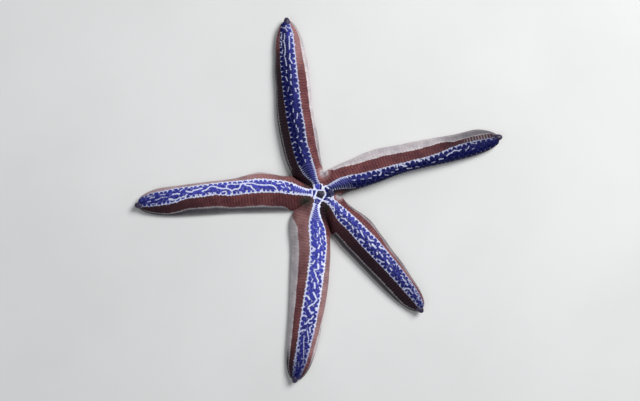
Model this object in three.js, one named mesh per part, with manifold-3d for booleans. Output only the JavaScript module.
// A five-armed starfish (a long-armed, slim-armed sea star with a very small disc), life size, resting on
// a floor with its arms spread. Millimetres, +Z up, the floor at z = 0, the origin under the middle of the
// whole animal. The body is one closed skin, shaped by formulas along each arm, then parted by thin cuts
// into the disc and the lengths of the arms. The centre plate and the sieve plate are let into the disc.
import * as THREE from "three";
import { mergeVertices } from "three/addons/utils/BufferGeometryUtils.js";
import Module from "manifold-3d";

const wasm = await Module();
wasm.setup();

// ---------------------------------------------------------------- driving dimensions, in mm and degrees

// The arms, counter-clockwise from above. reach and bearing place the tip from the middle of the disc. The
// sole's middle line leaves the straight line to the tip by bow at mid-length and by sway as an S. girth is
// the half width at the widest, and lean the tilt of the crown about the arm at mid-length and at the tip,
// positive to the clockwise side. left (counter-clockwise) and right list where along each flank it swells,
// as a share of the arm, and by how much.
const ARMS = [
  { name: "east", reach: 117.3, bearing: 17.4, bow: 7.3, sway: 1.7, girth: 10.6, lean: [39, 20] },
  { name: "north", reach: 110.2, bearing: 101, bow: 5.6, sway: 2.4, girth: 11.7, lean: [1, -10] },
  { name: "west", reach: 114.5, bearing: 183.7, bow: -0.5, sway: 0, girth: 12.1, lean: [33, 16] },
  { name: "south", reach: 117.7, bearing: 262.2, bow: -1.2, sway: -2.1, girth: 12.2, lean: [-29, -2] },
  { name: "southeast", reach: 96.4, bearing: 310.8, bow: -0.9, sway: 0, girth: 11.4, lean: [-19, -17] },
];
const SWELLINGS = {
  east: { left: [[0.33, 2.4], [0.9, 2.2]], right: [[0.33, 1]] },
  north: { left: [[0.33, -0.6], [0.72, 1.1], [0.88, 1.2]], right: [[0.33, 0.8]] },
  west: { left: [[0.33, 0.8]], right: [[0.33, 4], [0.9, 1]] },
  south: { left: [[0.33, 2.2], [0.45, 2.1], [0.56, 1.2]], right: [[0.17, 3.6], [0.27, 0.5], [0.38, 0.3]] },
  southeast: { left: [[0.16, -1.6], [0.35, 2], [0.5, 1.3], [0.67, 1]], right: [[0.35, 0.8]] },
};
const SWELLING_SPREAD = 0.09;
// The cleft between each arm and the next one counter-clockwise: how far out and on what bearing they part,
// how far out the disc stays level towards it, and over what share of either arm it still draws the flank in.
const CLEFTS = [
  { reach: 13.6, bearing: 80, level: 5, draws: [0.1, 0.1] },
  { reach: 20.4, bearing: 148, level: 5, draws: [0.1, 0.1] },
  { reach: 19.6, bearing: 213.5, level: 5, draws: [0.1, 0.06] },
  { reach: 25.6, bearing: 285, level: 5, draws: [0.1, 0.1] },
  { reach: 12.8, bearing: 355, level: 7.6, draws: [0.1, 0.1] },
];
const CREST_HEIGHT = 13; // the crown's ridge over the floor, where the arm is thickest
const CREST_FALL = 0.42; // the share of that height lost by the tip
const DISC_DIP = 1.6; // the disc's middle lies this much under the ridges
const DISC_DIP_RADIUS = 9;
const MARGIN_HEIGHT = 2.8; // the widest line of the flank, over the floor
const MARGIN_FALL = 0.25;
const TIP_LIFT = 1.6; // the last tenth of each arm curls up off the floor by this much
const SOLE_TURN = 3; // width of the rounding from the margin down to the flat sole
const GROOVE_HALF_WIDTH = 2.5;
const GROOVE_DEPTH = 3.6;
const MOUTH_RADIUS = 6.5;
const CUT = 0.3; // the thin cuts that part the body, and the gap round a plate let into it
const DISC_RADIUS = 13; // to the disc's five corners, which lie in the clefts
const ARM_CUTS = [0.41, 0.74]; // shares of an arm's length: base | middle | end
const ARM_LENGTHS = ["base", "middle", "end"];
// The plates let into the body: the five-sided one in the middle of the disc, the sieve plate beside it,
// and the knob at each arm's tip, which stands proud of the arm's end and over its top.
const CENTRE_PLATE = { radius: 3.2, thickness: 1.2, sunk: 0.6, corner: 56, shift: -0.3 };
const SIEVE_PLATE = { radius: 2.3, thickness: 1.3, sunk: 0.6, at: 6.4 };
const TIP_PLATE = { length: 6.2, width: 4.3, height: 4.8, proud: 1.2, raised: 1.3 };

// The grid of the skin: columns along an arm, of which the first few lie inside the clefts, and the angles
// of the crown's rows from the ridge (0) to the margin (1).
const CLEFT_COLUMNS = 5;
const COLUMNS = 24;
const CROWN_ROWS = 6;

const COLOURS = {
  arm: new THREE.MeshStandardMaterial({ color: 0x3b35a8, roughness: 0.55, metalness: 0 }),
  disc: new THREE.MeshStandardMaterial({ color: 0x4a3fa0, roughness: 0.55, metalness: 0 }),
  tip: new THREE.MeshStandardMaterial({ color: 0x3a1c30, roughness: 0.5, metalness: 0 }),
  centre: new THREE.MeshStandardMaterial({ color: 0x150f2e, roughness: 0.45, metalness: 0 }),
  sieve: new THREE.MeshStandardMaterial({ color: 0x1b1a5c, roughness: 0.6, metalness: 0 }),
};

// ---------------------------------------------------------------- the arms' formulas

const radians = THREE.MathUtils.degToRad;
const clamp01 = (x) => Math.min(1, Math.max(0, x));
const ease = (x) => clamp01(x) ** 2 * (3 - 2 * clamp01(x));
const mix = (a, b, share) => a + (b - a) * share;
const bell = (x) => Math.exp(-x * x);

// Half width as a share of the girth: narrow at the disc, full at a third, slim at the rounded tip.
const slimming = (t) => 0.68 + 0.32 * Math.sin(Math.PI * t ** 0.65) ** 0.9;
const tipRounding = (t) => Math.max(0, 1 - t ** 14.5) ** 0.55;
function halfWidth(arm, t, side) {
  const swellings = SWELLINGS[arm.name][side > 0 ? "left" : "right"];
  const swelling = swellings.reduce((sum, [at, by]) => sum + by * bell((t - at) / SWELLING_SPREAD), 0);
  return (arm.girth * slimming(t) + swelling) * tipRounding(t);
}
const marginHeight = (t) => MARGIN_HEIGHT * (1 - MARGIN_FALL * t);
const crestHeight = (arm, t) =>
  mix(
    marginHeight(t),
    CREST_HEIGHT * (1 - CREST_FALL * t ** 2.2) - DISC_DIP * bell((t * arm.reach) / DISC_DIP_RADIUS),
    Math.sqrt(Math.max(0, 1 - t ** 22)),
  );
const lean = (arm, t) =>
  radians(ease(t / 0.35) * mix(arm.lean[0], arm.lean[1], ease((t - 0.35) / 0.65)));
const tipLift = (t) => TIP_LIFT * ease((t - 0.9) / 0.1);

// The sole's middle line at share t of the arm: its place, its direction times the reach, and its left side.
function soleLine(arm, t) {
  const along = new THREE.Vector2(Math.cos(radians(arm.bearing)), Math.sin(radians(arm.bearing)));
  const left = new THREE.Vector2(-along.y, along.x);
  const offset = arm.bow * Math.sin(Math.PI * t) + arm.sway * Math.sin(2 * Math.PI * t);
  const slope = Math.PI * (arm.bow * Math.cos(Math.PI * t) + 2 * arm.sway * Math.cos(2 * Math.PI * t));
  const place = along.clone().multiplyScalar(arm.reach * t).addScaledVector(left, offset);
  const heading = along.clone().multiplyScalar(arm.reach).addScaledVector(left, slope);
  const normal = new THREE.Vector2(-heading.y, heading.x).normalize();
  return { place, heading, normal };
}

// Where a point beside the arm stands on it: the share t along the sole line, and the distance to the left.
function beside(arm, point) {
  let t = 0;
  for (let step = 0; step < 8; step++) {
    const { place, heading } = soleLine(arm, t);
    t += point.clone().sub(place).dot(heading) / heading.lengthSq();
  }
  const { place, normal } = soleLine(arm, t);
  return { t, across: point.clone().sub(place).dot(normal) };
}

// ---------------------------------------------------------------- the skin's grid

// A cleft as a valley from the middle of the disc (share 0) out to where the arms part (share 1).
const cleftPoint = ({ bearing }, radius) =>
  new THREE.Vector2(Math.cos(radians(bearing)), Math.sin(radians(bearing))).multiplyScalar(radius);
const valleyHeight = ({ reach, level }, radius) =>
  mix(CREST_HEIGHT - DISC_DIP, MARGIN_HEIGHT, ease((radius - level) / (reach - level)));
const mouthHeight = (radius) => GROOVE_DEPTH * (1 - ease(radius / MOUTH_RADIUS));

// The stations of an arm's columns. Those inside the clefts share out the length up to where the arm comes
// free of its neighbours, and the others close up towards the clefts and the tip.
function stations(freeAt) {
  return Array.from({ length: COLUMNS + 1 }, (_, k) => {
    if (k <= CLEFT_COLUMNS) return (freeAt * k) / CLEFT_COLUMNS;
    const share = ((k - CLEFT_COLUMNS) / (COLUMNS - CLEFT_COLUMNS)) ** 1.25;
    return mix(freeAt, 1, 1 - (1 - share) ** 1.7);
  });
}

// One side of an arm, as two grids of points that share their outer line: the crown from the ridge down to
// the margin or the cleft, and the underside from the middle of the groove out to the same line.
function flank(arm, side, cleft, freeAt) {
  const parting = beside(arm, cleftPoint(cleft, cleft.reach));
  const draw = cleft.draws[side > 0 ? 0 : 1];
  const free = (t) => {
    const [width, up, tilt] = [halfWidth(arm, t, side), marginHeight(t), lean(arm, t)];
    return { across: side * width * Math.cos(tilt) - up * Math.sin(tilt), up };
  };
  return stations(freeAt).map((t, k) => {
    const share = Math.min(1, k / CLEFT_COLUMNS);
    const inCleft = k < CLEFT_COLUMNS;
    const hold = bell(Math.max(0, t - freeAt) / draw); // how far the cleft still sets the outer line
    const valley = cleftPoint(cleft, share * cleft.reach);
    const foot = inCleft ? beside(arm, valley) : { t: t + (parting.t - freeAt) * hold };
    const wide = free(foot.t);
    const across = inCleft ? foot.across : wide.across + (parting.across - free(parting.t).across) * hold;
    const rim = inCleft ? valleyHeight(cleft, share * cleft.reach) : mix(wide.up, MARGIN_HEIGHT, hold);
    const tilt = Math.sin(lean(arm, t));
    // A point at share b from the middle of the arm to its outer line.
    const at = (b, lateral, up) => {
      const station = t + (foot.t - t) * b * b;
      const { place, normal } = soleLine(arm, station);
      return new THREE.Vector3(place.x + normal.x * lateral, place.y + normal.y * lateral, up + tipLift(t));
    };
    const outerPoint = (up) => {
      if (k <= CLEFT_COLUMNS) return new THREE.Vector3(valley.x, valley.y, up);
      return k === COLUMNS ? at(0, 0, up) : at(1, across, up);
    };

    // The crown is a superellipse arch, cut short on the shallow slopes of the disc.
    const steepest = radians(mix(35, 90, share));
    const high = crestHeight(arm, t);
    const crown = Array.from({ length: CROWN_ROWS + 1 }, (_, j) => {
      if (j === CROWN_ROWS) return outerPoint(rim);
      const angle = (steepest * j) / CROWN_ROWS;
      const out = (Math.sin(angle) / Math.sin(steepest)) ** 1.18;
      const floor = Math.cos(steepest) ** 1.25;
      const rise = (Math.cos(angle) ** 1.25 - floor) / (1 - floor);
      const up = mix(rim, high, rise);
      return at(out, across * out - (up - rim * out) * tilt, up);
    });

    // Under the arm: the groove, the flat sole, and an elliptic rounding up to the margin.
    const under = inCleft ? MARGIN_HEIGHT * ease((share - 0.75) / 0.25) : rim;
    const wideness = Math.max(Math.abs(across), 1e-3);
    const groove = Math.min(GROOVE_HALF_WIDTH, 0.45 * wideness);
    const turn = Math.min(SOLE_TURN, 0.4 * wideness);
    const lip = 1.2 * groove;
    const flatEnd = wideness - turn;
    const rows = [0, 0.45 * groove, 0.85 * groove, lip, flatEnd, flatEnd + 0.65 * turn];
    const sole = rows.map((y) => {
      const dug = GROOVE_DEPTH * (1 - ease((y / groove - 0.45) / 0.75)) * (1 - ease((t - 0.93) / 0.06));
      const rounded = under * (1 - Math.sqrt(1 - clamp01((y - flatEnd) / turn) ** 2));
      const point = at(y / wideness, side * y, 0);
      const mouth = mouthHeight(Math.hypot(point.x, point.y));
      point.z += y > 0 && k > 0 ? Math.max(dug, rounded, mouth) : Math.max(dug, mouth);
      return point;
    });
    sole.push(outerPoint(inCleft ? Math.max(under, mouthHeight(cleft.reach * share)) : rim));
    if (k > 0 && k < COLUMNS) return { crown, sole };
    // Both ends of the arm close to a point.
    const [above, below] = k === 0 ? [crown[0], sole[0]] : [outerPoint(rim), outerPoint(rim)];
    return { crown: crown.fill(above), sole: sole.fill(below) };
  });
}

// Two triangles for each cell of a grid of points.
function skinCells(grid, faceOut, triangles) {
  for (let k = 0; k + 1 < grid.length; k++) {
    for (let j = 0; j + 1 < grid[k].length; j++) {
      const [a, b, c, d] = [grid[k][j], grid[k + 1][j], grid[k + 1][j + 1], grid[k][j + 1]];
      triangles.push(...(faceOut ? [a, b, c, a, c, d] : [a, c, b, a, d, c]));
    }
  }
}

function bodyGeometry() {
  const triangles = [];
  ARMS.forEach((arm, i) => {
    const cleftOn = { 1: CLEFTS[i], "-1": CLEFTS[(i + ARMS.length - 1) % ARMS.length] };
    const partings = [1, -1].map((side) => beside(arm, cleftPoint(cleftOn[side], cleftOn[side].reach)).t);
    const freeAt = (partings[0] + partings[1]) / 2;
    for (const side of [1, -1]) {
      const columns = flank(arm, side, cleftOn[side], freeAt);
      skinCells(columns.map((column) => column.crown), side > 0, triangles);
      skinCells(columns.map((column) => column.sole), side < 0, triangles);
    }
  });
  return new THREE.BufferGeometry().setFromPoints(triangles);
}

// ---------------------------------------------------------------- solids

// A solid from a geometry. Triangles of no size, which lie at the poles, are left out.
function toSolid(geometry) {
  const bare = geometry.index ? geometry.toNonIndexed() : geometry.clone();
  for (const name of Object.keys(bare.attributes)) if (name !== "position") bare.deleteAttribute(name);
  const merged = mergeVertices(bare, 1e-4);
  const triangles = [];
  for (let i = 0; i < merged.index.count; i += 3) {
    const [a, b, c] = merged.index.array.slice(i, i + 3);
    if (a !== b && b !== c && c !== a) triangles.push(a, b, c);
  }
  return new wasm.Manifold(
    new wasm.Mesh({
      numProp: 3,
      vertProperties: merged.attributes.position.array,
      triVerts: new Uint32Array(triangles),
    }),
  );
}

function toGeometry(solid) {
  const { vertProperties, triVerts } = solid.getMesh();
  const geometry = new THREE.BufferGeometry();
  geometry.setAttribute("position", new THREE.BufferAttribute(new Float32Array(vertProperties), 3));
  geometry.setIndex(new THREE.BufferAttribute(new Uint32Array(triVerts), 1));
  geometry.computeVertexNormals();
  return geometry;
}

const CUT_HEIGHT = 60;

// A thin upright cut across an arm at share t of its length.
function crossCut(arm, t) {
  const { place, heading } = soleLine(arm, t);
  const slab = new THREE.BoxGeometry(CUT, 4 * arm.girth, CUT_HEIGHT);
  slab.rotateZ(heading.angle()).translate(place.x, place.y, 0);
  return toSolid(slab);
}

// The disc's corner in a cleft, which lies a little inside the place where the arms part.
const cornerRadius = (cleft) => Math.min(DISC_RADIUS, cleft.reach - 1);

// A thin upright cut along a cleft, from the disc's corner to past where the arms part.
function cleftCut(cleft) {
  const start = cornerRadius(cleft) + CUT / 2;
  const length = cleft.reach + 3 - start;
  const slab = new THREE.BoxGeometry(length, CUT, CUT_HEIGHT);
  slab.translate(start + length / 2, 0, 0).rotateZ(radians(cleft.bearing));
  return toSolid(slab);
}

// The cut round the disc: a thin five-sided wall with its corners in the clefts.
function discCut() {
  const corners = (wider) => CLEFTS.map((cleft) => cleftPoint(cleft, cornerRadius(cleft) + wider));
  const wall = new THREE.Shape(corners(CUT * 1.25));
  wall.holes.push(new THREE.Path(corners(0)));
  const ring = new THREE.ExtrudeGeometry(wall, { depth: CUT_HEIGHT, bevelEnabled: false });
  return toSolid(ring.translate(0, 0, -CUT_HEIGHT / 2));
}

// A plate with a domed top, round or with few sides, and the well cut for it, which is open above.
function turned(outline, sides) {
  const profile = outline.map(([radius, height]) => new THREE.Vector2(radius, height));
  return new THREE.LatheGeometry(profile, sides).rotateX(Math.PI / 2);
}
function plateGeometry({ radius: r, thickness: h }, sides) {
  return turned([[0, 0], [r, 0], [r, 0.55 * h], [0.8 * r, 0.85 * h], [0, h]], sides);
}
function wellGeometry({ radius: r, thickness: h }, sides) {
  return turned([[0, -CUT], [r + CUT, -CUT], [r + CUT, 4 * h], [0, 4 * h]], sides);
}

// Each plate is placed by a function that moves a geometry from the origin to its seat.
const seatCentrePlate = (geometry) =>
  geometry
    .rotateZ(radians(CENTRE_PLATE.corner + 90))
    .translate(0, CENTRE_PLATE.shift, CREST_HEIGHT - DISC_DIP - CENTRE_PLATE.sunk);
const seatSievePlate = (geometry) =>
  geometry.translate(SIEVE_PLATE.at, 0, CREST_HEIGHT - DISC_DIP - SIEVE_PLATE.sunk);

// The knob at an arm's tip, grown by extra all round to cut the hollow it lies in.
function tipPlate(arm, extra) {
  const { length, width, height, proud, raised } = TIP_PLATE;
  const { place, heading } = soleLine(arm, 1);
  return new THREE.SphereGeometry(1, 10, 6)
    .rotateZ(Math.PI / 2)
    .scale(length / 2 + extra, width / 2 + extra, height / 2 + extra)
    .translate(proud - length / 2, 0, 0)
    .rotateZ(heading.angle())
    .translate(place.x, place.y, marginHeight(1) + tipLift(1) + raised);
}

// ---------------------------------------------------------------- the parted animal

const starfish = new THREE.Group();
starfish.name = "starfish";

function addPart(name, solid, material) {
  const mesh = new THREE.Mesh(toGeometry(solid), material);
  mesh.name = name;
  starfish.add(mesh);
}

const cuts = [
  discCut(),
  ...CLEFTS.map(cleftCut),
  ...ARMS.flatMap((arm) => ARM_CUTS.map((t) => crossCut(arm, t))),
];
const hollows = [
  seatCentrePlate(wellGeometry(CENTRE_PLATE, 5)),
  seatSievePlate(wellGeometry(SIEVE_PLATE, 14)),
  ...ARMS.map((arm) => tipPlate(arm, CUT)),
].map(toSolid);
const whole = toSolid(bodyGeometry());
const pieces = [...cuts, ...hollows].reduce((body, cut) => body.subtract(cut), whole).decompose();

// The name of a piece comes from where its middle lies: in the disc, or at what share of which arm.
function nameOf(piece) {
  const { min, max } = piece.boundingBox();
  const middle = new THREE.Vector2((min[0] + max[0]) / 2, (min[1] + max[1]) / 2);
  if (middle.length() < DISC_RADIUS / 2) return "disc";
  const miss = (arm) => {
    const { t, across } = beside(arm, middle);
    return Math.abs(across) + (t < 0 ? 1e3 : 0);
  };
  const arm = ARMS.reduce((best, other) => (miss(other) < miss(best) ? other : best));
  const share = beside(arm, middle).t;
  return `${arm.name}_arm_${ARM_LENGTHS[ARM_CUTS.filter((cut) => share > cut).length]}`;
}

for (const piece of pieces) {
  const name = nameOf(piece);
  addPart(name, piece, name === "disc" ? COLOURS.disc : COLOURS.arm);
}
addPart("centre_plate", toSolid(seatCentrePlate(plateGeometry(CENTRE_PLATE, 5))), COLOURS.centre);
addPart("sieve_plate", toSolid(seatSievePlate(plateGeometry(SIEVE_PLATE, 14))), COLOURS.sieve);
for (const arm of ARMS) addPart(`${arm.name}_arm_tip_plate`, toSolid(tipPlate(arm, 0)), COLOURS.tip);

// The origin lies under the middle of the whole animal.
const middle = new THREE.Box3().setFromObject(starfish).getCenter(new THREE.Vector3());
starfish.position.set(-middle.x, -middle.y, 0);

export default starfish;
